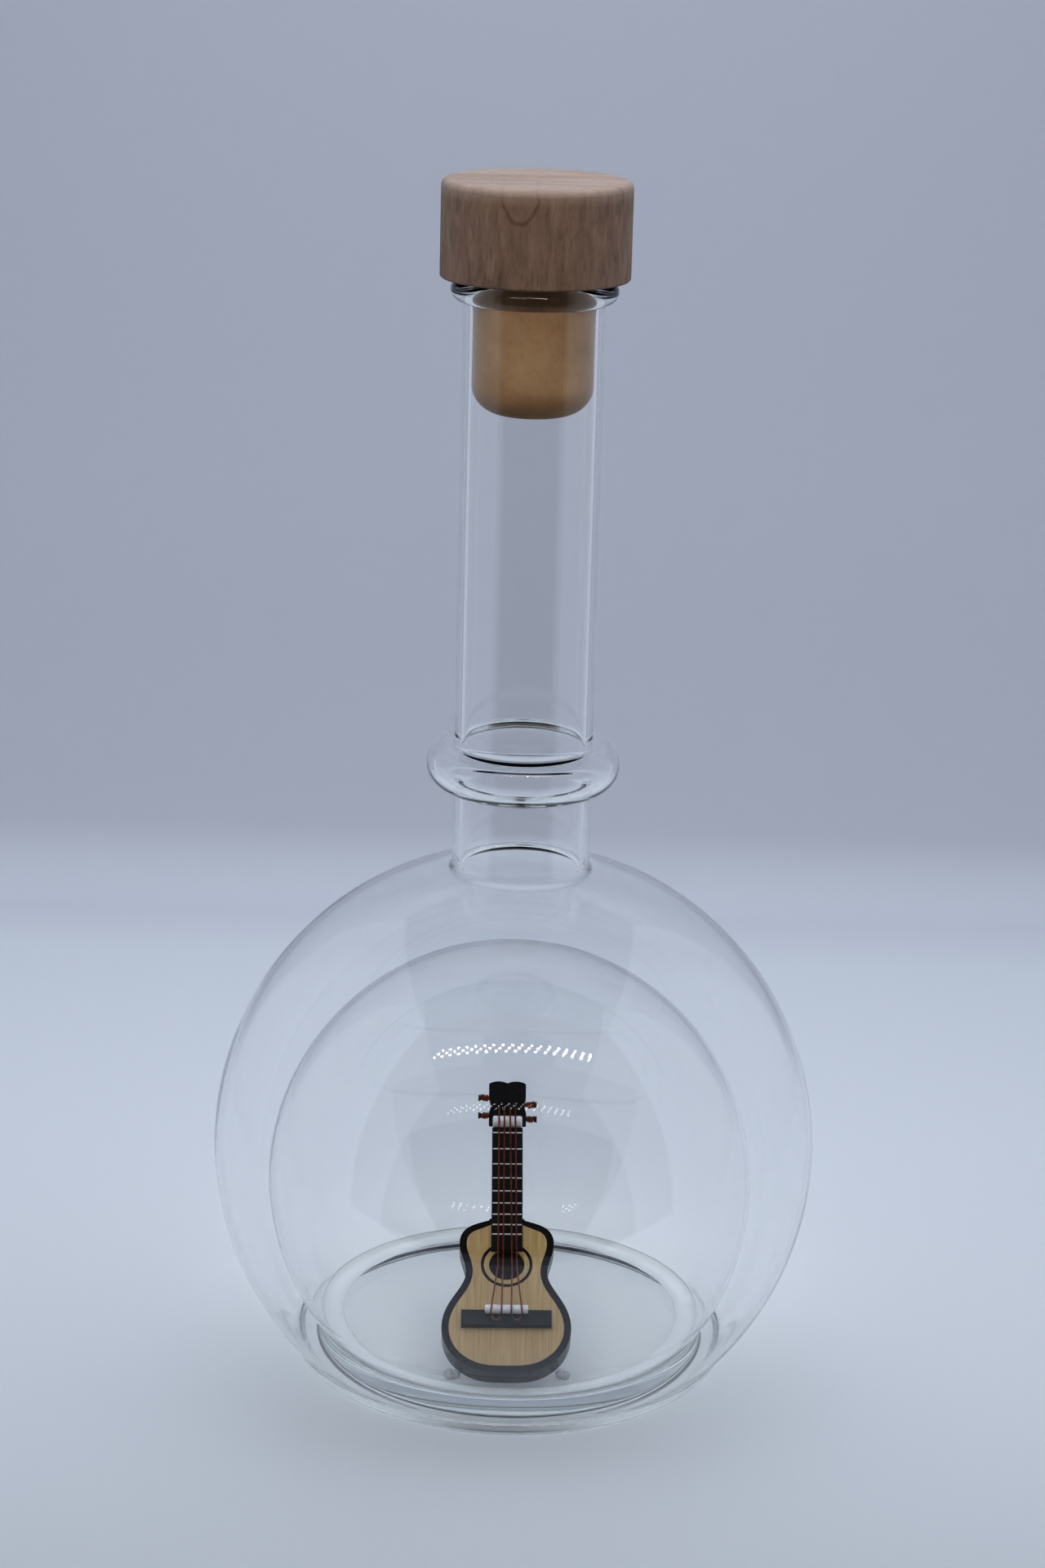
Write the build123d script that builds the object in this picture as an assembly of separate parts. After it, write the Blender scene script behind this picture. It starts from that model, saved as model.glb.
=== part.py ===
from build123d import *
import math
import os

# Glass decanter with a second glass globe inside it. The inner globe is a dry display chamber, open
# at the base and closed by a clear disc, and it holds a miniature guitar. A wooden-headed stopper
# closes the neck. Millimetres, +Z up along the bottle's axis, origin at the centre of the base.

# ---- bottle glass -------------------------------------------------------------------------------
NECK_WALL = 1.45              # wall of the neck's tube; the globes are blown thinner
GLOBE_WALL = 1.0
INNER_WALL = 0.8
GLOBE_R = 50.2                # outer globe, outside radius
GLOBE_Z = 37.2                # height of its centre
INNER_R = 40.6                # inner globe, outside radius
INNER_Z = 30.1                # height of its centre
COLLAR_R = 32.7               # short cylinder below the inner globe, outside radius
RIM_TOP = 3.0                 # where the two globes' walls leave the fused foot ring
FOOT_IN, FOOT_OUT = 32.5, 33.7   # flat land that the bottle stands on, inner and outer radius
BORE_R = 9.75                 # inside radius of the neck
NECK_R = BORE_R + NECK_WALL
NECK_FILLET = 1.2             # where the neck meets the globe
SHOULDER_Z = 76.0             # lower edge of the shoulder, the cap of the globe that carries the neck
BULGE_R = 15.7                # widest radius of the hollow bulge round the neck
BULGE_Z = 103.5
BULGE_HALF = 4.0              # half its height
BULGE_WALL = 1.5
LIP_Z = 180.7                 # rolled lip: centre height, ring radius, bead radius
LIP_RING = 11.45
LIP_BEAD = 1.8

# ---- clear floor of the display chamber -----------------------------------------------------------
CHAMBER_R = COLLAR_R - INNER_WALL
DISC_R = CHAMBER_R - 0.15
DISC_TOP = 6.08
DISC_THICK = 4.0
SEAL_IN = 28.6                # inner radius of the bead of clear glue round the disc
SEAL_TOP = 6.9                # height that the bead climbs to on the globe's wall

# ---- stopper ----------------------------------------------------------------------------------------
HEAD_R = 15.0
HEAD_HIGH = 15.3
HEAD_ROUND = 1.1
SHANK_R = BORE_R - 0.09       # compressed in the neck, with a running clearance
SHANK_LONG = 21.4
SHANK_ROUND = 5.0
SEAT_Z = LIP_Z + LIP_BEAD + 0.1

# ---- miniature guitar, in its own frame: x across, y from foot to head, z out of the top -------------
LEAN = 57.0                   # degrees back from upright
TILT = 1.0                    # degrees turned within its own plane
FOOT_X, FOOT_Y = -0.25, -27.2        # where the foot stands on the disc
BODY_LONG = 29.1
LOWER_BOUT, LOWER_AT = 10.6, 8.0     # half width and where it is, from the foot
WAIST, WAIST_AT = 6.75, 18.3
UPPER_BOUT, UPPER_AT = 7.85, 24.0
BODY_DEEP = 3.5
PLATE = 0.5                   # thickness of the top and the back
RIB = 0.6                     # thickness of the sides
BINDING = 1.15                # width of the black edging
HOLE_AT, HOLE_R = 20.1, 2.95
ROSETTE_R, ROSETTE_WIDE = 4.3, 0.5
ROSETTE_PROUD = 0.05
BOARD_FROM, BOARD_TO = 22.6, 47.2    # fingerboard ends
BOARD_HALF = 2.6
BOARD_HIGH = 0.7
FRETS = 9
FRET_FIRST = 46.1             # fret nearest the nut, then gaps that shrink by a constant ratio
FRET_GAP, FRET_RATIO = 3.35, 0.922
FRET_WIDE, FRET_PROUD = 0.28, 0.14
NECK_HALF = 2.3
NECK_DEEP = 1.7
HEEL_LONG = 3.0
NUT_AT, NUT_R, NUT_HALF, NUT_CENTRE = 48.25, 1.05, 2.55, 0.85
HEADSTOCK_TO = 57.4
HEADSTOCK_HALF = 3.2
HEADSTOCK_THICK = 1.6
BRIDGE_FROM, BRIDGE_TO = 8.0, 10.8
BRIDGE_HALF = 7.4
BRIDGE_HIGH = 1.2
SADDLE_AT, SADDLE_R, SADDLE_HALF = 10.4, 0.75, 3.55
SADDLE_CENTRE = BRIDGE_HIGH + 0.7
STRING_R = 0.14
PEG_AT = {"left": (50.6, 54.3), "right": (49.9, 52.9)}
PEG_R, PEG_LONG = 0.34, 1.35
KNOB_R, KNOB_LONG = 0.6, 0.5
GLUE_SPOTS = ((-8.7, -25.6, 1.5), (8.9, -24.6, 1.6))   # x, y and radius of the lumps of glue


def spin(face):
    """Revolve a profile drawn as (radius, height) about the bottle's axis."""
    return revolve(Plane.XZ * face, Axis.Z)


def tube(outer, inner, low, high):
    """Straight round tube between two heights."""
    return spin(make_face(Polyline((inner, low), (outer, low), (outer, high), (inner, high), close=True)))


def globe_shell(radius, wall, centre_z, low):
    """Spherical wall, cut off level at the height low."""
    shell = Pos(0, 0, centre_z) * (Sphere(radius) - Sphere(radius - wall))
    below = Pos(0, 0, low) * Cylinder(2 * radius, 4 * radius, align=(Align.CENTER, Align.CENTER, Align.MAX))
    return shell - below


def across_sphere(radius, centre_z, height):
    """Radius at which a sphere crosses a given height."""
    return math.sqrt(radius ** 2 - (centre_z - height) ** 2)


def bottle_neck():
    """Neck tube above the bulge, with its rolled lip."""
    lip = Pos(0, 0, LIP_Z) * Torus(LIP_RING, LIP_BEAD)
    wall = tube(NECK_R, BORE_R, BULGE_Z + BULGE_HALF, LIP_Z)
    return wall + (lip - Pos(0, 0, LIP_Z) * Cylinder(BORE_R, 6 * LIP_BEAD))


def neck_bulge():
    """Hollow ring blown out of the neck: half-round outside and inside."""
    low, high = BULGE_Z - BULGE_HALF, BULGE_Z + BULGE_HALF
    groove = BULGE_HALF - BULGE_WALL
    outside = ThreePointArc((NECK_R, low), (BULGE_R, BULGE_Z), (NECK_R, high))
    top = Polyline((NECK_R, high), (BORE_R, high), (BORE_R, BULGE_Z + groove))
    inside = ThreePointArc((BORE_R, BULGE_Z + groove), (BULGE_R - BULGE_WALL, BULGE_Z),
                           (BORE_R, BULGE_Z - groove))
    bottom = Polyline((BORE_R, BULGE_Z - groove), (BORE_R, low), (NECK_R, low))
    return spin(make_face([outside, top, inside, bottom]))


def outer_globe():
    """Outer globe below the shoulder."""
    shell = globe_shell(GLOBE_R, GLOBE_WALL, GLOBE_Z, RIM_TOP)
    return shell - Pos(0, 0, SHOULDER_Z) * Cylinder(GLOBE_R, GLOBE_R, align=(Align.CENTER, Align.CENTER, Align.MIN))


def globe_point(radius, angle):
    """Point of a sphere about the outer globe's centre, at an angle above its equator."""
    return radius * math.cos(angle), GLOBE_Z + radius * math.sin(angle)


def shoulder():
    """Cap of the outer globe, with the short piece of neck below the bulge."""
    inside_r = GLOBE_R - GLOBE_WALL
    bulge_low = BULGE_Z - BULGE_HALF
    low_out = math.asin((SHOULDER_Z - GLOBE_Z) / GLOBE_R)
    low_in = math.asin((SHOULDER_Z - GLOBE_Z) / inside_r)
    high_out = math.acos((NECK_R + NECK_FILLET) / (GLOBE_R + NECK_FILLET))
    high_in = math.acos(BORE_R / inside_r)
    turn_r, turn_z = globe_point(GLOBE_R + NECK_FILLET, high_out)
    turn_mid = (turn_r - NECK_FILLET * math.cos(high_out / 2), turn_z - NECK_FILLET * math.sin(high_out / 2))
    outside = ThreePointArc(globe_point(GLOBE_R, low_out), globe_point(GLOBE_R, (low_out + high_out) / 2),
                            globe_point(GLOBE_R, high_out))
    turn = ThreePointArc(globe_point(GLOBE_R, high_out), turn_mid, (NECK_R, turn_z))
    neck = Polyline((NECK_R, turn_z), (NECK_R, bulge_low), (BORE_R, bulge_low), globe_point(inside_r, high_in))
    inside = ThreePointArc(globe_point(inside_r, high_in), globe_point(inside_r, (low_in + high_in) / 2),
                           globe_point(inside_r, low_in))
    edge = Line(globe_point(inside_r, low_in), globe_point(GLOBE_R, low_out))
    return spin(make_face([outside, turn, neck, inside, edge]))


def chamber_top():
    """Height at which the straight wall of the chamber meets its round wall."""
    return INNER_Z - across_sphere(INNER_R - INNER_WALL, 0, CHAMBER_R)


def inner_globe():
    """Inner globe, whose open bottom narrows into a short cylinder."""
    joint_z = INNER_Z - across_sphere(INNER_R, 0, COLLAR_R)
    shell = globe_shell(INNER_R, INNER_WALL, INNER_Z, joint_z) + tube(COLLAR_R, CHAMBER_R, RIM_TOP, joint_z)
    bore = Cylinder(CHAMBER_R, INNER_R, align=(Align.CENTER, Align.CENTER, Align.MAX))
    return shell - Pos(0, 0, chamber_top()) * bore


def foot_ring():
    """Fused ring that joins the two globes, with a flat land underneath and a groove on top."""
    outside = across_sphere(GLOBE_R, GLOBE_Z, RIM_TOP)
    groove_out = across_sphere(GLOBE_R - GLOBE_WALL, GLOBE_Z, RIM_TOP)
    curve_out = ThreePointArc((FOOT_OUT, 0), (outside - 1.05, 0.75), (outside, RIM_TOP))
    top_out = Line((outside, RIM_TOP), (groove_out, RIM_TOP))
    groove = ThreePointArc((groove_out, RIM_TOP), ((groove_out + COLLAR_R) / 2, RIM_TOP - 0.8),
                           (COLLAR_R, RIM_TOP))
    top_in = Polyline((COLLAR_R, RIM_TOP), (CHAMBER_R, RIM_TOP), (CHAMBER_R, 1.2))
    curve_in = ThreePointArc((CHAMBER_R, 1.2), (CHAMBER_R + 0.17, 0.38), (FOOT_IN, 0))
    land = Line((FOOT_IN, 0), (FOOT_OUT, 0))
    return spin(make_face([curve_out, top_out, groove, top_in, curve_in, land]))


def floor_disc():
    """Clear disc that closes the display chamber."""
    disc = Pos(0, 0, DISC_TOP) * Cylinder(DISC_R, DISC_THICK, align=(Align.CENTER, Align.CENTER, Align.MAX))
    return chamfer(disc.edges(), 0.2)


def disc_seal():
    """Concave bead of clear glue in the corner between the disc and the wall."""
    inside_r = INNER_R - INNER_WALL
    corner, bend = (CHAMBER_R, DISC_TOP), (CHAMBER_R, chamber_top())
    middle_z = (chamber_top() + SEAL_TOP) / 2
    middle = (across_sphere(inside_r, INNER_Z, middle_z), middle_z)
    top = (across_sphere(inside_r, INNER_Z, SEAL_TOP), SEAL_TOP)
    slope = ThreePointArc(top, (CHAMBER_R - 0.9, DISC_TOP + 0.3), (SEAL_IN, DISC_TOP))
    edges = [Line(corner, bend), ThreePointArc(bend, middle, top), slope, Line((SEAL_IN, DISC_TOP), corner)]
    return spin(make_face(edges))


def stopper_head():
    """Turned wooden head."""
    head = Pos(0, 0, SEAT_Z) * Cylinder(HEAD_R, HEAD_HIGH, align=(Align.CENTER, Align.CENTER, Align.MIN))
    head = fillet(head.edges().group_by(Axis.Z)[-1], HEAD_ROUND)
    return fillet(head.edges().filter_by(GeomType.CIRCLE).group_by(Axis.Z)[0], 0.4)


def stopper_shank():
    """Cork shank, glued to the head and rounded at its lower end."""
    shank = Pos(0, 0, SEAT_Z) * Cylinder(SHANK_R, SHANK_LONG, align=(Align.CENTER, Align.CENTER, Align.MAX))
    return fillet(shank.edges().group_by(Axis.Z)[0], SHANK_ROUND)


def body_outline(inset=0.0):
    """Guitar body outline as a face, moved in by inset: a smooth half curve and its mirror image."""
    ends = [(1, 0), (-1, 0)]
    half = Spline((0, 0), (5.2, 0.62), (8.95, 3.35), (LOWER_BOUT, LOWER_AT), (9.3, 12.9),
                  (WAIST, WAIST_AT), (UPPER_BOUT, UPPER_AT), (6.2, 27.5), (2.75, 28.9), (0, BODY_LONG),
                  tangents=ends)
    if inset:
        steps = 16
        moved = []
        for step in range(steps + 1):
            along = half % (step / steps)
            moved.append(half @ (step / steps) + Vector(-along.Y, along.X) * inset)
        half = Spline(*moved, tangents=ends)
    return make_face([half, mirror(half, Plane.YZ)])


def slab(face, low, high):
    """Flat face turned into a plate between two heights above the guitar's top."""
    return extrude(Pos(0, 0, low) * face, amount=high - low, dir=(0, 0, 1))


def block(half, start, end, low, high):
    """Plain block centred across the guitar."""
    return Pos(0, (start + end) / 2, (low + high) / 2) * Box(2 * half, end - start, high - low)


def cross_bar(at, radius, half, centre, floor):
    """Rounded bar across the strings, flat where it is glued down."""
    bar = Pos(0, at, centre) * Rot(0, 90, 0) * Cylinder(radius, 2 * half)
    bar = fillet(bar.edges().filter_by(GeomType.CIRCLE), radius * 0.35)
    return bar - block(2 * half, at - 2 * radius, at + 2 * radius, floor - 2 * radius, floor)


def guitar_body():
    """Back, sides, top, edging and rosette."""
    outline = body_outline()
    inside_rib = body_outline(RIB)
    inside_binding = body_outline(BINDING)
    sides = (PLATE - BODY_DEEP, -PLATE)
    top = (-PLATE, 0)
    hole = Pos(0, HOLE_AT) * Cylinder(HOLE_R, 4 * PLATE)
    ring = Pos(0, HOLE_AT) * (Circle(ROSETTE_R) - Circle(ROSETTE_R - ROSETTE_WIDE))
    rosette = slab(ring, 0, ROSETTE_PROUD) - block(BOARD_HALF, BOARD_FROM, BOARD_TO, 0, BOARD_HIGH)
    return {
        "guitar_back": slab(outline, -BODY_DEEP, PLATE - BODY_DEEP),
        "guitar_sides": slab(outline, *sides) - slab(inside_rib, *sides),
        "guitar_top": slab(inside_binding, *top) - hole,
        "guitar_binding": slab(outline, *top) - slab(inside_binding, *top),
        "guitar_rosette": rosette,
    }


def guitar_neck():
    """Neck with its heel, cut to sit against the end of the body."""
    shaft = block(NECK_HALF, BODY_LONG - 1, NUT_AT + 0.6, -NECK_DEEP, 0)
    shaft = fillet(shaft.edges().filter_by(Axis.Y).group_by(Axis.Z)[0], 0.9)
    heel = block(1.9, BODY_LONG - 1, BODY_LONG + HEEL_LONG, 0.4 - BODY_DEEP, 0)
    heel = chamfer(heel.edges().group_by(Axis.Y)[-1].sort_by(Axis.Z)[0], HEEL_LONG - 0.4)
    return shaft + heel - slab(body_outline(), -2 * BODY_DEEP, BODY_DEEP)


def headstock():
    """Head with two round lobes at its end and hollowed sides."""
    start = NUT_AT + 0.6
    head = block(HEADSTOCK_HALF, start, HEADSTOCK_TO, 0.1 - HEADSTOCK_THICK, 0.1)
    end = block(HEADSTOCK_HALF, start, HEADSTOCK_TO - 2.6, -HEADSTOCK_THICK, HEADSTOCK_THICK)
    for side in (-1, 1):
        end += Pos(side * HEADSTOCK_HALF * 0.47, HEADSTOCK_TO - 3.0) * Cylinder(3.0, 4 * HEADSTOCK_THICK)
    head = head & end
    for side in (-1, 1):
        centre = (side * (HEADSTOCK_HALF + 4.7), (start + HEADSTOCK_TO) / 2 - 0.6)
        head -= Pos(*centre) * Cylinder(5.0, 4 * HEADSTOCK_THICK)
    return head


def fingerboard():
    """Black fingerboard with softened long edges."""
    board = block(BOARD_HALF, BOARD_FROM, BOARD_TO, 0, BOARD_HIGH)
    return chamfer(board.edges().filter_by(Axis.Y).group_by(Axis.Z)[-1], 0.12)


def fret_places():
    """Distances of the frets from the foot."""
    places = [FRET_FIRST]
    for number in range(FRETS - 1):
        places.append(places[-1] - FRET_GAP * FRET_RATIO ** number)
    return places


def fret_wires():
    """Half-round fret wires lying on the fingerboard."""
    wires = []
    for place in fret_places():
        wire = Pos(0, place, BOARD_HIGH) * Rot(0, 90, 0) * Cylinder(FRET_PROUD, 2 * BOARD_HALF - 0.3)
        wires.append(wire - block(BOARD_HALF, place - 1, place + 1, 0, BOARD_HIGH))
    return wires


def bridge():
    """Bridge bar with softened edges."""
    bar = block(BRIDGE_HALF, BRIDGE_FROM, BRIDGE_TO, 0, BRIDGE_HIGH)
    return fillet(bar.edges().group_by(Axis.Z)[-1], 0.18)


def string_pair(outer, inner):
    """One wire that makes two strings: up one side, round a loop on the bridge and back."""
    over_nut = NUT_CENTRE + NUT_R + STRING_R + 0.02
    over_saddle = SADDLE_CENTRE + SADDLE_R + STRING_R + 0.05
    behind = SADDLE_AT - SADDLE_R - STRING_R - 0.08
    on_bridge = BRIDGE_HIGH + STRING_R + 0.03

    def run(at_nut, at_hole, at_saddle):
        return [(at_nut, 51.9, 0.1 + STRING_R + 0.02), (at_nut, 49.6, over_nut - 0.35),
                (at_nut, NUT_AT, over_nut + 0.06), (at_hole, 18.3, over_saddle - 0.12),
                (at_saddle, behind, over_saddle + 0.03), (at_saddle * 0.98, behind, on_bridge)]

    loop = ((outer[2] + inner[2]) / 2, behind - 0.95, on_bridge)
    points = run(*outer) + [loop] + run(*inner)[::-1]
    radii = [0.8, 3.0, 6.0, 0.7, 0.3, 0.45, 0.3, 0.7, 6.0, 3.0, 0.8]
    path = FilletPolyline(*points, radius=radii)
    start = Plane(origin=path @ 0, z_dir=path % 0)
    return sweep(start * Circle(STRING_R), path=path)


def pegs(head):
    """Tuning pegs: a plain shaft out of the head's side, and a knob on its end."""
    shafts, knobs = [], []
    base = (Align.CENTER, Align.CENTER, Align.MIN)
    for name, side in (("left", -1), ("right", 1)):
        for place in PEG_AT[name]:
            turn = Pos(side * HEADSTOCK_HALF, place, -0.7) * Rot(0, side * 90, 0)
            shaft = turn * Pos(0, 0, -0.5) * Cylinder(PEG_R, PEG_LONG + 0.5, align=base)
            shafts.append(shaft - head)
            knob = Pos(0, 0, PEG_LONG) * Cone(PEG_R + 0.08, KNOB_R, KNOB_LONG, align=base)
            knobs.append(turn * knob)
    return shafts, knobs


def glue_lumps(body):
    """Two lumps of glue in the corners between the guitar's foot and the disc."""
    lumps = []
    below = Pos(0, 0, DISC_TOP) * Cylinder(DISC_R, DISC_THICK, align=(Align.CENTER, Align.CENTER, Align.MAX))
    for across, forward, radius in GLUE_SPOTS:
        lump = Pos(across, forward, DISC_TOP + 0.45 * radius) * Sphere(radius)
        lumps.append(lump - below - body)
    return lumps


def guitar():
    """Every piece of the guitar, leaned back on its foot."""
    foot = Pos(FOOT_X, FOOT_Y, DISC_TOP + 0.02) * Rot(90 - LEAN, 0, 0)
    in_place = foot * Pos(0, 0, BODY_DEEP) * Rot(0, 0, TILT)
    pieces = guitar_body()
    pieces["guitar_neck"] = guitar_neck()
    pieces["guitar_headstock"] = headstock()
    pieces["fingerboard"] = fingerboard()
    pieces["frets"] = fret_wires()
    pieces["nut"] = cross_bar(NUT_AT, NUT_R, NUT_HALF, NUT_CENTRE, 0.1)
    pieces["bridge"] = bridge()
    pieces["saddle"] = cross_bar(SADDLE_AT, SADDLE_R, SADDLE_HALF, SADDLE_CENTRE, BRIDGE_HIGH)
    pieces["string_pair_left"] = string_pair((-1.44, -1.46, -2.56), (-0.53, -0.62, -0.82))
    pieces["string_pair_right"] = string_pair((1.36, 1.62, 2.55), (0.46, 0.84, 0.80))
    pieces["peg_shafts"], pieces["peg_knobs"] = pegs(pieces["guitar_headstock"])
    placed = {}
    for name, piece in pieces.items():
        solids = piece if isinstance(piece, list) else [piece]
        placed[name] = [in_place * solid for solid in solids]
    placed["glue_lumps"] = glue_lumps(in_place * slab(body_outline(), -BODY_DEEP, 0))
    return placed


def main():
    nodes = {
        "bottle_neck": [bottle_neck()],
        "neck_bulge": [neck_bulge()],
        "shoulder": [shoulder()],
        "outer_globe": [outer_globe()],
        "inner_globe": [inner_globe()],
        "foot_ring": [foot_ring()],
        "floor_disc": [floor_disc()],
        "disc_seal": [disc_seal()],
        "stopper_head": [stopper_head()],
        "stopper_shank": [stopper_shank()],
    }
    nodes.update(guitar())
    os.makedirs("parts", exist_ok=True)
    for name, solids in nodes.items():
        bodies = [solid for piece in solids for solid in piece.solids()]
        shape = bodies[0] if len(bodies) == 1 else Compound(bodies)
        export_step(shape, f"parts/{name}.step")


main()
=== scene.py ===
import math
import random

import bmesh
import bpy
from mathutils import Matrix, Vector


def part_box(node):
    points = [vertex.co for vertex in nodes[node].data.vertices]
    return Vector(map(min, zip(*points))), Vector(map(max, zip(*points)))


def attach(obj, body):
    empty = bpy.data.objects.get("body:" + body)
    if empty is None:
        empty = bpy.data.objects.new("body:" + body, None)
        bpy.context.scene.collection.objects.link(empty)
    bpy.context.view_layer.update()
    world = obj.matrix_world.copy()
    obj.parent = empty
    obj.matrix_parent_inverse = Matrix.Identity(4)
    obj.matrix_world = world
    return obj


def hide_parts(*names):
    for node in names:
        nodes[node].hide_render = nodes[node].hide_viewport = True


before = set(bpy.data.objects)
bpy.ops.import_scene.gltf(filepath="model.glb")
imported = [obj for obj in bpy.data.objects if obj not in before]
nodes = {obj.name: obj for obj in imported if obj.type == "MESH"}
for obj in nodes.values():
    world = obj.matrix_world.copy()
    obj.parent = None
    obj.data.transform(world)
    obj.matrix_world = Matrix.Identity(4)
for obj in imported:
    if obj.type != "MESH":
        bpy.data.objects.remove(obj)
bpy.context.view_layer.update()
MM = 0.001


# ---- material helpers -----------------------------------------------------------------------------
def srgb(r, g, b):
    """Colour given as 0-255 display values, as a linear RGBA tuple."""
    shares = [c / 255 for c in (r, g, b)]
    return tuple(c / 12.92 if c <= 0.04045 else ((c + 0.055) / 1.055) ** 2.4 for c in shares) + (1.0,)


class Shader:
    """A material with a Principled shader and short ways to add procedural nodes to it."""

    def __init__(self, name, **values):
        self.mat = bpy.data.materials.new(name)
        self.mat.use_nodes = True
        self.tree = self.mat.node_tree
        self.bsdf = self.tree.nodes["Principled BSDF"]
        self.out = self.tree.nodes["Material Output"]
        for key, value in values.items():
            self.bsdf.inputs[key.replace("_", " ")].default_value = value

    def node(self, kind, **settings):
        made = self.tree.nodes.new(kind)
        for key, value in settings.items():
            setattr(made, key, value)
        return made

    def link(self, a, b):
        self.tree.links.new(a, b)

    def coords(self, scale=(1, 1, 1), turn=(0, 0, 0)):
        place = self.node("ShaderNodeMapping")
        place.inputs["Scale"].default_value = scale
        place.inputs["Rotation"].default_value = turn
        self.link(self.node("ShaderNodeTexCoord").outputs["Object"], place.inputs["Vector"])
        return place.outputs["Vector"]

    def noise(self, scale, detail=4.0, rough=0.55, stretch=(1, 1, 1), turn=(0, 0, 0), twist=0.0):
        made = self.node("ShaderNodeTexNoise")
        made.inputs["Scale"].default_value = scale
        made.inputs["Detail"].default_value = detail
        made.inputs["Roughness"].default_value = rough
        made.inputs["Distortion"].default_value = twist
        self.link(self.coords(stretch, turn), made.inputs["Vector"])
        return made.outputs["Fac"]

    def ramp(self, source, *stops):
        made = self.node("ShaderNodeValToRGB")
        bar = made.color_ramp.elements
        while len(bar) < len(stops):
            bar.new(0.5)
        for element, (place, colour) in zip(bar, stops):
            element.position = place
            element.color = colour if len(colour) == 4 else (*colour, 1.0)
        self.link(source, made.inputs["Fac"])
        return made.outputs["Color"]

    def grey(self, source, low, high, dark=0.0, light=1.0):
        return self.ramp(source, (low, (dark,) * 3), (high, (light,) * 3))

    def mix(self, amount, a, b):
        made = self.node("ShaderNodeMix", data_type="RGBA")
        for socket, value in ((made.inputs[0], amount), (made.inputs[6], a), (made.inputs[7], b)):
            if isinstance(value, (float, tuple)):
                socket.default_value = value
            else:
                self.link(value, socket)
        return made.outputs[2]

    def math(self, operation, a, b=0.0):
        made = self.node("ShaderNodeMath", operation=operation)
        for socket, value in zip(made.inputs, (a, b)):
            if isinstance(value, (int, float)):
                socket.default_value = value
            else:
                self.link(value, socket)
        return made.outputs[0]

    def bump(self, height, distance, strength=1.0):
        made = self.node("ShaderNodeBump")
        made.inputs["Strength"].default_value = strength
        made.inputs["Distance"].default_value = distance
        self.link(height, made.inputs["Height"])
        self.link(made.outputs["Normal"], self.bsdf.inputs["Normal"])

    def colour(self, source):
        self.link(source, self.bsdf.inputs["Base Color"])

    def roughness(self, source):
        self.link(source, self.bsdf.inputs["Roughness"])

    def see_through(self, when, tint):
        """Clear to what is behind it wherever `when` is 1."""
        through = self.node("ShaderNodeBsdfTransparent")
        through.inputs["Color"].default_value = tint
        mixer = self.node("ShaderNodeMixShader")
        self.link(when, mixer.inputs[0])
        self.link(self.bsdf.outputs[0], mixer.inputs[1])
        self.link(through.outputs[0], mixer.inputs[2])
        self.link(mixer.outputs[0], self.out.inputs["Surface"])

    def clear_shadow(self, tint):
        """Light passes straight through to what is behind the glass, instead of a black shadow."""
        self.see_through(self.node("ShaderNodeLightPath").outputs["Is Shadow Ray"], tint)

    def one_sided(self):
        """Hidden from behind, so that the stage doesn't hide the object in views from the back."""
        self.see_through(self.node("ShaderNodeNewGeometry").outputs["Backfacing"], (1, 1, 1, 1))


# ---- materials --------------------------------------------------------------------------------------
def bottle_glass():
    made = Shader("bottle_glass", IOR=1.47, Transmission_Weight=1.0, Base_Color=(1, 1, 1, 1))
    made.roughness(made.grey(made.noise(120, 3), 0.55, 0.8, 0.0, 0.012))
    made.bump(made.noise(45, 1.0, stretch=(1, 1, 0.5)), 0.00002)
    made.clear_shadow((0.985, 0.99, 0.99, 1))
    depth = made.node("ShaderNodeVolumeAbsorption")
    depth.inputs["Color"].default_value = (0.25, 0.50, 0.40, 1)
    depth.inputs["Density"].default_value = 2.2
    made.link(depth.outputs[0], made.out.inputs["Volume"])
    return made.mat


def clear_glue():
    made = Shader("clear_glue", IOR=1.46, Transmission_Weight=0.45, Base_Color=(0.93, 0.95, 0.96, 1))
    made.roughness(made.grey(made.noise(260, 3), 0.35, 0.7, 0.1, 0.25))
    made.bump(made.noise(700, 2), 0.00002)
    made.clear_shadow((0.93, 0.94, 0.95, 1))
    return made.mat


def white_glue():
    made = Shader("white_glue", Subsurface_Weight=0.35, Subsurface_Scale=0.0008, IOR=1.46,
                  Transmission_Weight=0.35)
    made.colour(made.ramp(made.noise(900, 4), (0.3, srgb(196, 202, 212)), (0.7, srgb(232, 236, 242))))
    made.roughness(made.grey(made.noise(600), 0.3, 0.7, 0.18, 0.42))
    made.bump(made.noise(1500, 3), 0.00006)
    return made.mat


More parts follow.
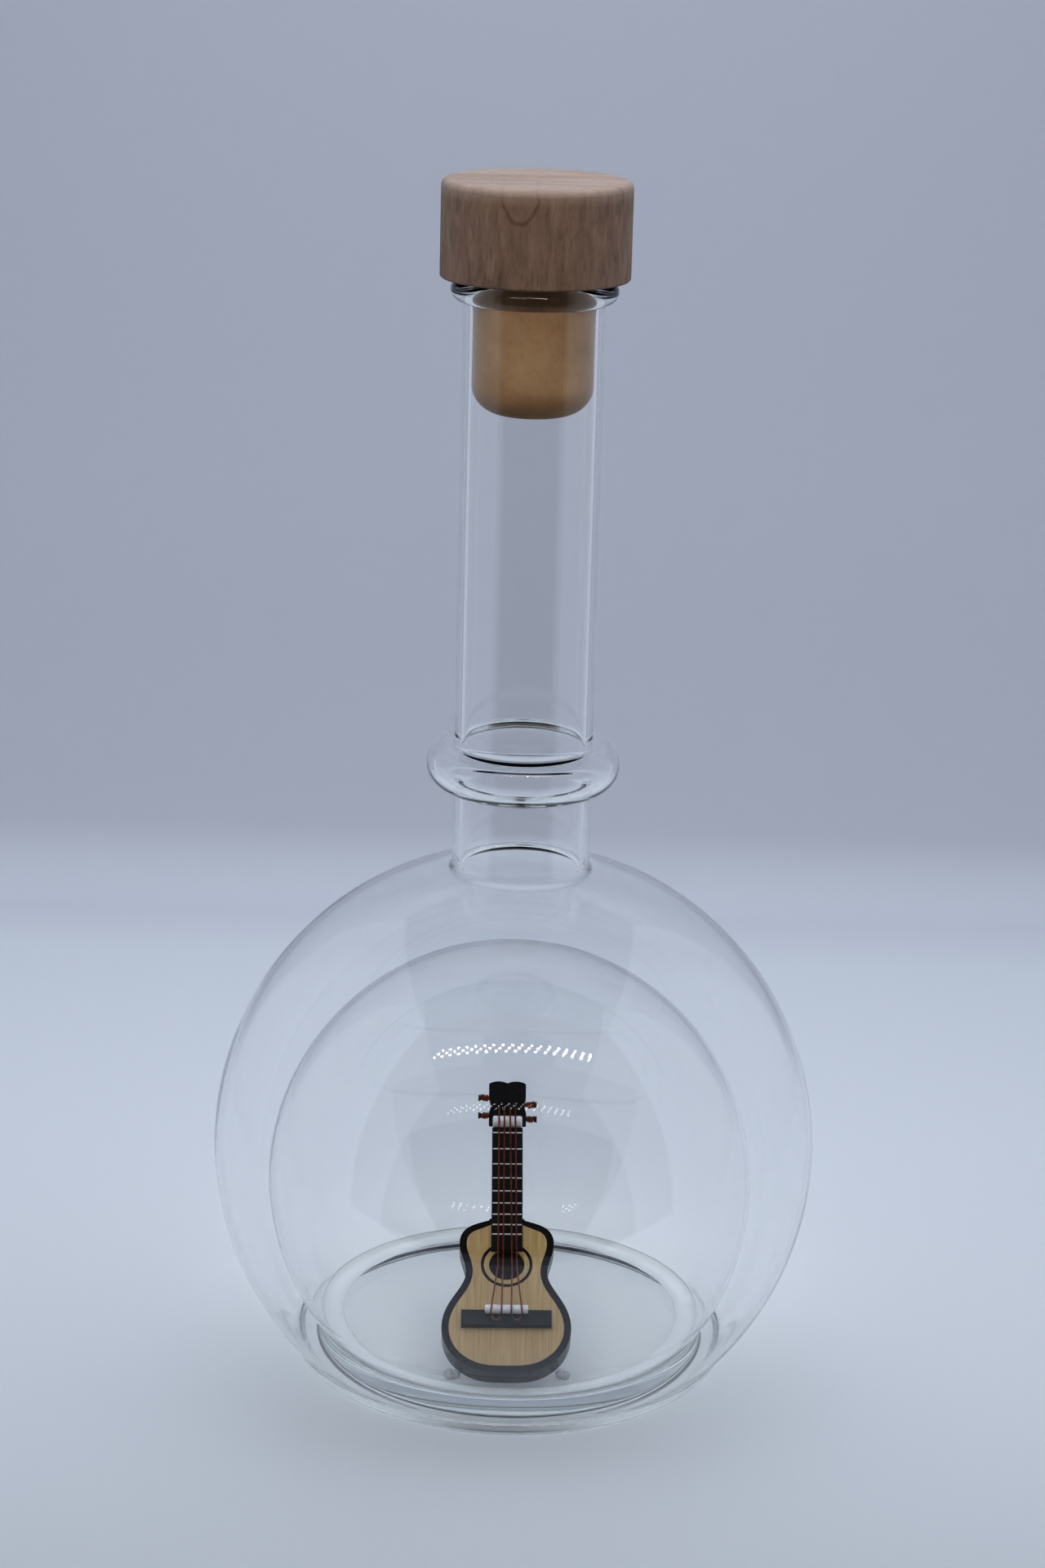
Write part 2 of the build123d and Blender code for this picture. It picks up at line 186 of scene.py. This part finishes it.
def head_wood():
    """Turned beech: short fibres and a knot on the side, end-to-end grain on the flat top, which is painted
    lighter than the sides as painted top light and sheen.
    """
    made = Shader("head_wood", Specular_IOR_Level=0.35)
    fibre = made.noise(620, 6, 0.66, (1, 1, 0.26), twist=0.4)
    body = made.ramp(fibre, (0.30, srgb(116, 98, 86)), (0.5, srgb(138, 118, 104)),
                     (0.72, srgb(158, 138, 122)))
    flecks = made.grey(made.noise(1900, 2, 0.5, (1, 1, 0.24)), 0.55, 0.72)
    body = made.mix(made.math("MULTIPLY", flecks, 0.5), body, srgb(104, 85, 74))
    clouds = made.grey(made.noise(150, 4, 0.6, (1, 1, 0.6), twist=0.6), 0.38, 0.66, 0.0, 0.55)
    body = made.mix(clouds, body, srgb(146, 125, 109))
    place = made.node("ShaderNodeSeparateXYZ")
    made.link(made.coords(), place.inputs[0])

    # The knot: half an oval line under the top edge, at the front.
    wander = made.math("MULTIPLY", made.math("SUBTRACT", made.noise(320, 2), 0.5), 0.5)
    across = made.math("DIVIDE", made.math("ADD", place.outputs["X"], 0.0026), 0.0031)
    down = made.math("DIVIDE", made.math("SUBTRACT", place.outputs["Z"], 0.1969), 0.0042)
    squares = made.math("ADD", made.math("POWER", across, 2.0), made.math("POWER", down, 2.0))
    reach = made.math("ADD", made.math("SQRT", squares), wander)
    ring = made.grey(made.math("ABSOLUTE", made.math("SUBTRACT", reach, 0.9)), 0.0, 0.13, 0.6, 0.0)
    front = made.math("LESS_THAN", place.outputs["Y"], 0.0)
    body = made.mix(made.math("MULTIPLY", ring, front), body, srgb(104, 76, 62))

    # The flat top keeps its own grain, but its colours are painted much lighter than the sides: painted top
    # light and painted sheen.
    grain = made.noise(300, 5, 0.6, (0.10, 1, 1), (0, 0, 0.5), twist=0.5)
    top = made.ramp(grain, (0.3, srgb(170, 148, 136)), (0.55, srgb(190, 171, 158)),
                    (0.75, srgb(201, 184, 172)))
    made.colour(made.mix(made.grey(place.outputs["Z"], 0.19745, 0.19785), body, top))
    made.roughness(made.grey(fibre, 0.3, 0.7, 0.62, 0.48))
    made.bump(made.noise(1100, 5, 0.65, (1, 1, 0.12)), 0.00006, 0.7)
    return made.mat


def shank_cork():
    made = Shader("shank_cork", Specular_IOR_Level=0.4)
    cloud = made.noise(160, 5, 0.6)
    body = made.ramp(cloud, (0.3, srgb(146, 119, 92)), (0.5, srgb(157, 130, 102)),
                     (0.72, srgb(168, 142, 114)))
    grains = made.grey(made.noise(1300, 2), 0.58, 0.72)
    made.colour(made.mix(made.math("MULTIPLY", grains, 0.22), body, srgb(120, 88, 62)))
    made.roughness(made.grey(cloud, 0.3, 0.7, 0.45, 0.6))
    made.bump(made.noise(2200, 3), 0.00003)
    return made.mat


def black_lacquer():
    made = Shader("black_lacquer", Coat_Weight=0.1, Coat_Roughness=0.05, IOR=1.4, Specular_IOR_Level=0.22)
    made.colour(made.ramp(made.noise(500, 3), (0.3, (0.006, 0.006, 0.008)), (0.7, (0.014, 0.014, 0.017))))
    made.roughness(made.grey(made.noise(700), 0.3, 0.7, 0.16, 0.3))
    made.bump(made.noise(900, 2), 0.00002)
    return made.mat


def black_satin():
    made = Shader("black_satin", IOR=1.38, Specular_IOR_Level=0.22)
    grain = made.noise(1400, 4, 0.6, (1, 0.12, 0.12))
    made.colour(made.ramp(grain, (0.3, (0.010, 0.010, 0.010)), (0.75, (0.026, 0.026, 0.02808))))
    made.roughness(made.grey(grain, 0.3, 0.7, 0.38, 0.6))
    made.bump(grain, 0.00004)
    return made.mat


def top_wood():
    made = Shader("top_wood", Coat_Weight=0.15, Coat_Roughness=0.3)
    lines = made.noise(2600, 3, 0.6, (1, 0.035, 0.035), twist=0.12)
    body = made.ramp(lines, (0.3, srgb(166, 140, 98)), (0.5, srgb(186, 161, 117)),
                     (0.72, srgb(199, 175, 131)))
    broad = made.grey(made.noise(260, 2, 0.5, (1, 0.2, 0.2)), 0.35, 0.7, 0.0, 0.4)
    made.colour(made.mix(broad, body, srgb(164, 134, 94)))
    made.roughness(made.grey(lines, 0.3, 0.7, 0.36, 0.5))
    made.bump(lines, 0.00002)
    return made.mat


def wire_metal(name, dark, light, rough, share=1.0):
    """Wire; a share of metal under 1 stands for a dull, pale skin on it."""
    made = Shader(name, Metallic=share)
    made.colour(made.ramp(made.noise(2500, 3), (0.3, dark), (0.7, light)))
    made.roughness(made.grey(made.noise(1800), 0.3, 0.7, rough, rough + 0.14))
    made.bump(made.noise(4000, 2), 0.00001)
    return made.mat


def white_plastic():
    made = Shader("white_plastic", Subsurface_Weight=0.2, Subsurface_Scale=0.0006, Coat_Weight=0.3)
    made.colour(made.ramp(made.noise(1200, 3), (0.3, srgb(206, 208, 214)), (0.7, srgb(232, 233, 238))))
    made.roughness(made.grey(made.noise(1500), 0.3, 0.7, 0.22, 0.34))
    made.bump(made.noise(2000, 2), 0.00002)
    return made.mat


def peg_black():
    made = Shader("peg_black", Coat_Weight=0.3)
    made.colour(made.ramp(made.noise(1500, 3), (0.3, srgb(38, 28, 26)), (0.7, srgb(66, 48, 42))))
    made.roughness(made.grey(made.noise(1500), 0.3, 0.7, 0.2, 0.35))
    made.bump(made.noise(3000, 2), 0.00002)
    return made.mat


# ---- profile of the blown glass, in millimetres as (radius, height) ------------------------------------
def line(a, b):
    """Points on a straight run, both ends included."""
    count = max(2, round(math.dist(a, b) / 0.15))
    return [(a[0] + (b[0] - a[0]) * i / count, a[1] + (b[1] - a[1]) * i / count) for i in range(count + 1)]


def arc(centre, radius, start, end):
    """Points on a circle between two angles in degrees."""
    count = max(4, round(radius * abs(math.radians(end - start)) / 0.15))
    turns = [math.radians(start + (end - start) * i / count) for i in range(count + 1)]
    return [(centre[0] + radius * math.cos(t), centre[1] + radius * math.sin(t)) for t in turns]


def arc_through(a, b, c):
    """Points on the circle through three points, from a by way of b to c."""
    ax, ay = a[0] - c[0], a[1] - c[1]
    bx, by = b[0] - c[0], b[1] - c[1]
    cross = 2 * (ax * by - ay * bx)
    ux = (by * (ax * ax + ay * ay) - ay * (bx * bx + by * by)) / cross
    uy = (ax * (bx * bx + by * by) - bx * (ax * ax + ay * ay)) / cross
    centre = (ux + c[0], uy + c[1])
    angles = [math.degrees(math.atan2(p[1] - centre[1], p[0] - centre[0])) for p in (a, b, c)]
    sweep = (angles[2] - angles[0]) % 360
    if (angles[1] - angles[0]) % 360 > sweep:
        sweep -= 360
    return arc(centre, math.hypot(ux, uy), angles[0], angles[0] + sweep)


def bulge(wall):
    """The ring blown into the neck, from below: the outside of it, or `wall` further in."""
    centre, low, high, tip = (11.67, 103.5), (12.0, 98.68), (12.0, 108.32), 86.1
    return (arc(low, 0.8 + wall, 180, 180 - tip) + arc(centre, 4.03 - wall, -tip, tip)
            + arc(high, 0.8 + wall, 180 + tip, 180))


def glass_profiles():
    """The two skins of the fused and bonded glass.

    The first is the closed chamber, with the disc for a floor. The second runs from under the disc round
    the foot, up the outer globe and the neck to the lip, down the bore and the inside of the outer globe,
    and over the inner globe.
    """
    globe, globe_in, globe_z = 50.2, 49.2, 37.2
    inner, inner_in, inner_z = 40.6, 39.8, 30.1
    neck, bore, collar, chamber, rim = 11.2, 9.75, 32.7, 31.9, 3.0
    bulge_low, bulge_high = 98.6, 108.4
    disc_low, disc_top = 2.08, 6.08
    disc_r = math.sqrt(inner_in ** 2 - (inner_z - disc_top) ** 2)
    collar_top = inner_z - math.sqrt(inner ** 2 - collar ** 2)
    rim_out = math.sqrt(globe ** 2 - (globe_z - rim) ** 2)
    rim_in = math.sqrt(globe_in ** 2 - (globe_z - rim) ** 2)
    turn = 1.2                  # outer radius of the bend from the globe into the neck
    turn_z = globe_z + math.sqrt((globe + turn) ** 2 - (neck + turn) ** 2)
    turn_at = math.degrees(math.acos((neck + turn) / (globe + turn)))
    low_out = -math.degrees(math.asin((globe_z - rim) / globe))
    low_in = -math.degrees(math.asin((globe_z - rim) / globe_in))
    room = arc((0, inner_z), inner_in, 90, -math.degrees(math.acos(disc_r / inner_in)))
    room += line((disc_r, disc_top), (0, disc_top))
    skin = line((0, disc_low), (31.6, disc_low))
    skin += arc_through((31.6, disc_low), (31.82, disc_low - 0.1), (chamber, disc_low - 0.4))
    skin += line((chamber, disc_low - 0.4), (chamber, 1.2))
    skin += arc_through((chamber, 1.2), (chamber + 0.17, 0.38), (32.5, 0))
    skin += line((32.5, 0), (33.7, 0))
    skin += arc_through((33.7, 0), (rim_out - 1.05, 0.75), (rim_out, rim))
    skin += arc((0, globe_z), globe, low_out, turn_at)
    skin += arc((neck + turn, turn_z), turn, 180 + turn_at, 180)
    skin += line((neck, turn_z), (neck, bulge_low)) + bulge(0) + line((neck, bulge_high), (neck, 178.9))
    skin += arc((11.45, 180.7), 1.8, -98, 160.8)
    skin += line((bore, 181.3), (bore, bulge_high)) + bulge(neck - bore)[::-1]
    skin += line((bore, bulge_low), (bore, turn_z))
    thick, thin = neck + turn - bore, globe + turn - globe_in   # the bend's inner radius at its two ends
    steps = 15
    for i in range(1, steps + 1):
        angle = math.radians(180 + turn_at * i / steps)
        reach = thick + (thin - thick) * i / steps
        skin.append((neck + turn + reach * math.cos(angle), turn_z + reach * math.sin(angle)))
    skin += arc((0, globe_z), globe_in, turn_at, low_in)
    skin += arc_through((rim_in, rim), ((rim_in + collar) / 2, rim - 0.8), (collar, rim))
    skin += line((collar, rim), (collar, collar_top))
    skin += arc((0, inner_z), inner, -math.degrees(math.acos(collar / inner)), 90)
    return room, skin


def fire_polish(chain, span=3):
    """Rounds the corners as melted glass does."""
    even = [a for a, b in zip(chain, chain[1:]) if math.dist(a, b) > 1e-6] + [chain[-1]]
    smooth = list(even)
    for i in range(len(even)):
        reach = min(span, i, len(even) - 1 - i)
        if reach > 0:
            weights = [math.exp(-0.5 * (k / (reach * 0.6)) ** 2) for k in range(-reach, reach + 1)]
            near = even[i - reach:i + reach + 1]
            smooth[i] = tuple(sum(w * p[axis] for w, p in zip(weights, near)) / sum(weights)
                              for axis in (0, 1))
    return smooth


def thin_out(chain, longest=1.7, sharpest=6.5):
    """Keeps only the points that the curve needs: more of them where it turns."""
    kept, spent = [chain[0]], 0.0
    for a, b, c in zip(chain, chain[1:], chain[2:]):
        turn = math.degrees(abs(math.atan2(c[1] - b[1], c[0] - b[0]) - math.atan2(b[1] - a[1], b[0] - a[0])))
        spent += math.dist(a, b) / longest + min(turn, 360 - turn) / sharpest
        if spent >= 1:
            kept.append(b)
            spent = 0.0
    return kept + [chain[-1]]


def ripple(angle, along):
    """Slow unevenness of hand-blown glass, from -1 to 1."""
    return (0.5 * math.sin(2 * angle + 1.3 + 0.021 * along) + 0.3 * math.sin(3 * angle - 0.034 * along)
            + 0.2 * math.sin(5 * angle + 0.09 * along))


def aside(r, z, outside):
    """How far the inner globe was blown off centre, to the left."""
    offset, starts, full = -0.55 * MM, 4, 34        # none at the foot, all of it from mid-height up
    inner_z, near, under = 30.1, 41.5, 72
    inner = not outside or (math.hypot(r, z - inner_z) < near and z < under)
    return offset * min(1.0, max(0.0, (z - starts) / (full - starts))) if inner else 0.0


def spun_glass(name, segments=144):
    """One closed mesh, turned about Z from the two profiles."""
    mesh = bmesh.new()
    for outside, profile in enumerate(glass_profiles()):
        rows, along, last = [], 0.0, profile[0]
        for r, z in thin_out(fire_polish(profile)):
            along += math.dist((r, z), last)
            last = (r, z)
            row = []
            for i in range(segments if r > 1e-6 else 1):
                angle = 2 * math.pi * i / segments
                uneven = r * (1 - 0.0005 * (1 + ripple(angle, along))) * MM
                x = uneven * math.cos(angle) + aside(r, z, outside)
                row.append(mesh.verts.new((x, uneven * math.sin(angle), z * MM)))
            rows.append(row)
        for low, high in zip(rows, rows[1:]):
            for i in range(segments):
                j = (i + 1) % segments
                corners = [low[i % len(low)], low[j % len(low)], high[j % len(high)], high[i % len(high)]]
                mesh.faces.new(list(dict.fromkeys(corners)))
    mesh.normal_update()
    top = max(mesh.faces, key=lambda f: f.calc_center_median().z)
    if top.normal.z < 0:
        bmesh.ops.reverse_faces(mesh, faces=mesh.faces)
    return finish_mesh(mesh, name)


def finish_mesh(mesh, name):
    """The bmesh as a smooth object in the scene."""
    data = bpy.data.meshes.new(name)
    mesh.to_mesh(data)
    mesh.free()
    data.polygons.foreach_set("use_smooth", [True] * len(data.polygons))
    obj = bpy.data.objects.new(name, data)
    bpy.context.scene.collection.objects.link(obj)
    return obj


def glue_bead(name, segments=180):
    """Uneven bead of clear glue round the disc, set a hair into the glass that it grips."""
    section = arc_through((28.7, 6.09), (31.0, 6.4), (32.3, 6.9))[::2]
    section += [(32.44, 6.92), (31.85, 6.0), (28.7, 6.0)]
    mesh = bmesh.new()
    rows = []
    for i in range(segments):
        angle = 2 * math.pi * i / segments
        creep = 0.2 * ripple(angle, 40) + 0.06 * math.sin(11 * angle) + 0.04 * math.sin(23 * angle + 1)
        row = []
        for r, z in section:
            inward = max(0.0, (32.0 - r) / 3.3)
            reach = r - creep * inward
            spot = Vector((reach * math.cos(angle), reach * math.sin(angle), z)) * MM
            spot.x += aside(r, z, False)
            row.append(mesh.verts.new(spot))
        rows.append(row)
    for row, other in zip(rows, rows[1:] + rows[:1]):
        for k in range(len(section)):
            mesh.faces.new((row[k - 1], row[k], other[k], other[k - 1]))
    bmesh.ops.recalc_face_normals(mesh, faces=mesh.faces)
    return finish_mesh(mesh, name)


def glue_lump(name, seed, centre, radius):
    """Irregular lump of set glue: a few blobs melted together and pressed on the disc."""
    chance = random.Random(seed)
    mesh = bmesh.new()
    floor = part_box("floor_disc")[1].z
    for i in range(7):
        reach = radius * (0.34 + 0.3 * chance.random())
        off = Vector((chance.uniform(-1, 1), chance.uniform(-0.7, 0.7), chance.uniform(-0.1, 0.6)))
        off = off * radius * 0.45
        made = bmesh.ops.create_icosphere(mesh, subdivisions=3, radius=reach,
                                          matrix=Matrix.Translation(centre + off))
        for v in made["verts"]:
            wave = math.sin(v.co.x * 4100 + seed) * math.sin(v.co.y * 3700 - i) * math.sin(v.co.z * 4300)
            v.co += (v.co - centre - off).normalized() * wave * radius * 0.07
    lump = finish_mesh(mesh, name)
    bpy.context.view_layer.objects.active = lump
    for kind, settings in (("REMESH", {"mode": "VOXEL", "voxel_size": radius * 0.07}),
                           ("SMOOTH", {"factor": 0.6, "iterations": 6})):
        modifier = lump.modifiers.new(kind.lower(), kind)
        for key, value in settings.items():
            setattr(modifier, key, value)
        bpy.ops.object.modifier_apply(modifier=modifier.name)
    for v in lump.data.vertices:
        v.co.z = max(v.co.z, floor + 0.00002)
    lump.data.polygons.foreach_set("use_smooth", [True] * len(lump.data.polygons))
    return lump


def winding(name, seed, place, side):
    """Wire wound round a tuning peg by hand: uneven turns, and a loose end."""
    chance = random.Random(seed)
    foot, lean, body_deep, tilt = (-0.25, -27.2, 6.1), math.radians(33), 3.5, math.radians(1)
    guitar = (Matrix.Translation(foot) @ Matrix.Rotation(lean, 4, "X")
              @ Matrix.Translation((0, 0, body_deep)) @ Matrix.Rotation(tilt, 4, "Z"))
    turns, steps, wire = 3.6 + chance.random(), 20, 0.12
    points = []
    for i in range(round(turns * steps) + 1):
        angle = 2 * math.pi * i / steps
        out = 0.12 + 0.95 * i / (turns * steps) + 0.07 * math.sin(angle * 0.37 + seed)
        reach = 0.44 + 0.07 * math.sin(angle * 0.61 + 2 * seed) ** 2
        points.append(Vector((side * (3.3 + out), place + reach * math.cos(angle),
                              -0.7 + reach * math.sin(angle))))
    points.append(points[-1] + Vector((side * 0.25, -0.1, 0.3)))
    mesh = bmesh.new()
    rings = []
    for a, b, c in zip([points[0]] + points, points, points[1:] + [points[-1]]):
        along = (c - a).normalized()
        across = along.cross(Vector((side, 0, 0))).normalized()
        over = along.cross(across)
        rings.append([mesh.verts.new(guitar @ (b + wire * (math.cos(t) * across + math.sin(t) * over)) * MM)
                      for t in (2 * math.pi * k / 8 for k in range(8))])
    for low, high in zip(rings, rings[1:]):
        for k in range(8):
            mesh.faces.new((low[k], low[(k + 1) % 8], high[(k + 1) % 8], high[k]))
    mesh.faces.new(rings[0][::-1])
    mesh.faces.new(rings[-1])
    bmesh.ops.recalc_face_normals(mesh, faces=mesh.faces)
    return finish_mesh(mesh, name)


# ---- object -----------------------------------------------------------------------------------------
def dress(obj, material):
    """Gives a piece its one material."""
    obj.data.materials.clear()
    obj.data.materials.append(material)


bottle = spun_glass("bottle_glass")
dress(bottle, bottle_glass())
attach(bottle, "bottle")
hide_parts("bottle_neck", "neck_bulge", "shoulder", "outer_globe", "inner_globe", "foot_ring",
            "floor_disc")

seal = glue_bead("disc_seal_bead")
dress(seal, clear_glue())
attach(seal, "bottle")
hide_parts("disc_seal")

GLUE = white_glue()
for label, seed, place, size in (("glue_lump_left", 3, (-8.9, -25.9, 6.5), 1.5),
                                 ("glue_lump_right", 8, (8.9, -24.9, 6.5), 1.55)):
    lump = glue_lump(label, seed, Vector(place) * MM, size * MM)
    dress(lump, GLUE)
    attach(lump, "bottle")
    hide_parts("glue_lumps")

LACQUER = black_lacquer()
SATIN = black_satin()
COPPER = wire_metal("copper_wire", srgb(122, 62, 42), srgb(178, 106, 74), 0.3)
WHITE = white_plastic()
for label, seed, place, side in (("peg_wire_1", 4, 50.6, -1), ("peg_wire_2", 9, 54.3, -1),
                                 ("peg_wire_3", 5, 49.9, 1), ("peg_wire_4", 12, 52.9, 1)):
    wire = winding(label, seed, place, side)
    dress(wire, COPPER)
    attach(wire, "bottle")

FINISH = {
    "stopper_head": (head_wood(), "head_wood"),
    "stopper_shank": (shank_cork(), "shank_cork"),
    "guitar_top": (top_wood(), "top_wood"),
    "fingerboard": (SATIN, "black_satin"),
    "bridge": (SATIN, "black_satin"),
    "frets": (wire_metal("fret_metal", srgb(236, 237, 240), srgb(250, 250, 252), 0.35, 0.4), "fret_metal"),
    "nut": (WHITE, "white_plastic"),
    "saddle": (WHITE, "white_plastic"),
    "peg_knobs": (peg_black(), "peg_black"),
}
for name in ("string_pair_left", "string_pair_right", "peg_shafts"):
    FINISH[name] = (COPPER, "copper_wire")
for name in ("back", "sides", "binding", "rosette", "neck", "headstock"):
    FINISH["guitar_" + name] = (LACQUER, "black_lacquer")
for name, (material, slot_name) in FINISH.items():
    dress(nodes[name], material)

# Edges of the small parts are broken, as sanding and lacquer leave them.
ROUNDED = {"guitar_binding": 0.16, "guitar_back": 0.16, "guitar_headstock": 0.16, "guitar_neck": 0.1,
           "fingerboard": 0.06, "bridge": 0.08, "guitar_rosette": 0.015}
for name, width in ROUNDED.items():
    weld = nodes[name].modifiers.new("weld", "WELD")
    weld.merge_threshold = 0.000002
    edge = nodes[name].modifiers.new("edge", "BEVEL")
    edge.width = width * MM
    edge.segments = 3
    edge.limit_method = "ANGLE"
    edge.angle_limit = math.radians(40)
    edge.harden_normals = True


# ---- stage: a small light tent with an open front -------------------------------------------------------
def panel(name, corners, shader):
    """Flat panel of the tent: it lights the scene and shows in the glass, but not to the camera."""
    data = bpy.data.meshes.new(name)
    data.from_pydata([Vector(c) for c in corners], [], [(0, 1, 2, 3)])
    obj = bpy.data.objects.new(name, data)
    bpy.context.scene.collection.objects.link(obj)
    data.materials.append(shader)
    obj.visible_camera = False


def glow(name, colour, strength):
    """Cloth panel of the tent, lit from outside."""
    made = Shader(name, Base_Color=(0, 0, 0, 1), Roughness=1.0, Specular_IOR_Level=0.0)
    made.bsdf.inputs["Emission Color"].default_value = colour
    made.bsdf.inputs["Emission Strength"].default_value = strength
    return made.mat


def cloth(name, low, back, high):
    """Matt cloth of the floor, the foot of the back and the top of the back, painted darker in that order:
    painted shade where the light falls off up the back wall.
    """
    made = Shader(name, Roughness=1.0, Specular_IOR_Level=0.0)
    place = made.node("ShaderNodeSeparateXYZ")
    made.link(made.coords(), place.inputs[0])
    far = made.math("ADD", place.outputs["Y"], place.outputs["Z"])
    # Painted shade: the cloth's colour darkens from the floor up the back wall.
    made.colour(made.ramp(far, (0.195, low), (0.270, back), (0.45, high)))
    made.one_sided()
    return made.mat


def sweep_sheet():
    """Floor that curves up into the back wall."""
    depth, bend, top, half = 0.242, 0.016, 0.36, 0.21
    path = [(-0.145, 0.0)] + [(y * 0.02, 0.0) for y in range(-7, 11)]
    path += [(depth - bend + bend * math.sin(math.radians(a)), bend - bend * math.cos(math.radians(a)))
             for a in range(0, 91, 6)]
    path += [(depth, bend + (top - bend) * k / 8) for k in range(1, 9)]
    verts = [Vector((side * half, y, z - 0.00012)) for y, z in path for side in (-1, 1)]
    faces = [(2 * i, 2 * i + 1, 2 * i + 3, 2 * i + 2) for i in range(len(path) - 1)]
    data = bpy.data.meshes.new("tent_sweep")
    data.from_pydata(verts, [], faces)
    data.polygons.foreach_set("use_smooth", [True] * len(data.polygons))
    obj = bpy.data.objects.new("tent_sweep", data)
    bpy.context.scene.collection.objects.link(obj)
    # Painted shade tones for the floor, the foot of the back and the top of the back.
    painted_falloff_shades = (0.80, 0.82, 0.84, 1), (0.68, 0.69, 0.73, 1), (0.56, 0.57, 0.605, 1)
    data.materials.append(cloth("tent_cloth", *painted_falloff_shades))


def area_light(name, place, aim, size, power, colour):
    """Soft lamp that lights the scene and isn't itself seen, not even in the glass."""
    data = bpy.data.lights.new(name, "AREA")
    data.shape = "RECTANGLE"
    data.size, data.size_y = size
    data.energy = power
    data.color = colour
    obj = bpy.data.objects.new(name, data)
    bpy.context.scene.collection.objects.link(obj)
    obj.location = place
    obj.rotation_euler = (Vector(aim) - Vector(place)).to_track_quat("-Z", "Y").to_euler()
    obj.visible_glossy = False
    obj.visible_transmission = False
    obj.visible_camera = False


def led_strip(count=18):
    """Three staggered rows of small lamps along the tent's front top edge: only their mirror images show."""
    half = 0.0025
    mesh = bmesh.new()
    for row in range(3):
        for i in range(count):
            x = -0.16 + 0.32 * (i + 0.33 * row) / count
            y, z = -0.186, 0.285 + 0.011 * row
            mesh.faces.new([mesh.verts.new((x + dx, y, z + dz)) for dx, dz in
                            ((-half, -half), (half, -half), (half, half), (-half, half))])
    strip = finish_mesh(mesh, "led_strip")
    strip.visible_camera = False
    strip.data.materials.append(glow("led", (1.0, 0.98, 0.96, 1), 80.0))


sweep_sheet()
LEFT, RIGHT, FRONT, BACK, TOP = -0.205, 0.205, -0.14, 0.26, 0.36
SIDE_GLOW = glow("tent_side", (0.50, 0.54, 0.62, 1), 1.5)
TOP_GLOW = glow("tent_top", (0.86, 0.97, 1.16, 1), 0.33)
for label, x in (("tent_left", LEFT), ("tent_right", RIGHT)):
    panel(label, [(x, FRONT, 0), (x, BACK, 0), (x, BACK, TOP), (x, FRONT, TOP)], SIDE_GLOW)
panel("tent_top", [(LEFT, FRONT, TOP), (RIGHT, FRONT, TOP), (RIGHT, BACK, TOP), (LEFT, BACK, TOP)], TOP_GLOW)
led_strip()
area_light("soft_top", (0, 0.04, 0.35), (0, 0.05, 0), (0.38, 0.38), 0.98, (0.79, 0.86, 0.97))
area_light("front_fill", (0, -0.42, 0.30), (0, 0, 0.1), (0.5, 0.3), 0.25, (1.0, 0.84, 0.70))

# ---- world, tones and light paths ---------------------------------------------------------------------
world = bpy.data.worlds.new("room")
world.use_nodes = True
world.node_tree.nodes["Background"].inputs["Color"].default_value = (1.0, 0.92, 0.84, 1)
world.node_tree.nodes["Background"].inputs["Strength"].default_value = 0.12
scene = bpy.context.scene
scene.world = world
scene.view_settings.view_transform = "Standard"
scene.view_settings.exposure = -0.4
scene.view_settings.use_curve_mapping = True
tones = scene.view_settings.curve_mapping         # darker low tones, as a camera renders them
for level, shown in ((0.04, 0.008), (0.10, 0.03), (0.2, 0.095), (0.5, 0.335), (0.7, 0.54)):
    tones.curves[3].points.new(level, shown)
tones.curves[3].points[-1].location = (1.0, 0.86)
for point in tones.curves[3].points:
    point.handle_type = "VECTOR"
tones.update()
scene.cycles.max_bounces = 40
scene.cycles.transmission_bounces = 36
scene.cycles.transparent_max_bounces = 40
scene.cycles.glossy_bounces = 8
scene.cycles.diffuse_bounces = 3

# ---- camera -------------------------------------------------------------------------------------------
eye = Vector((0, -0.5447, 0.2638))
pitch, roll = math.radians(16.75), math.radians(1.45)
ahead = Vector((0, math.cos(pitch), -math.sin(pitch)))
level_up = Vector((0, math.sin(pitch), math.cos(pitch)))
right = Vector((1, 0, 0)) * math.cos(roll) + level_up * math.sin(roll)
upward = level_up * math.cos(roll) - Vector((1, 0, 0)) * math.sin(roll)
lens = bpy.data.cameras.new("camera")
lens.lens = 80
lens.sensor_fit = "VERTICAL"
lens.sensor_height = 36
lens.clip_start = 0.01
camera = bpy.data.objects.new("camera", lens)
scene.collection.objects.link(camera)
facing = Matrix((right, upward, -ahead)).transposed().to_4x4()
camera.matrix_world = Matrix.Translation(eye) @ facing
scene.camera = camera
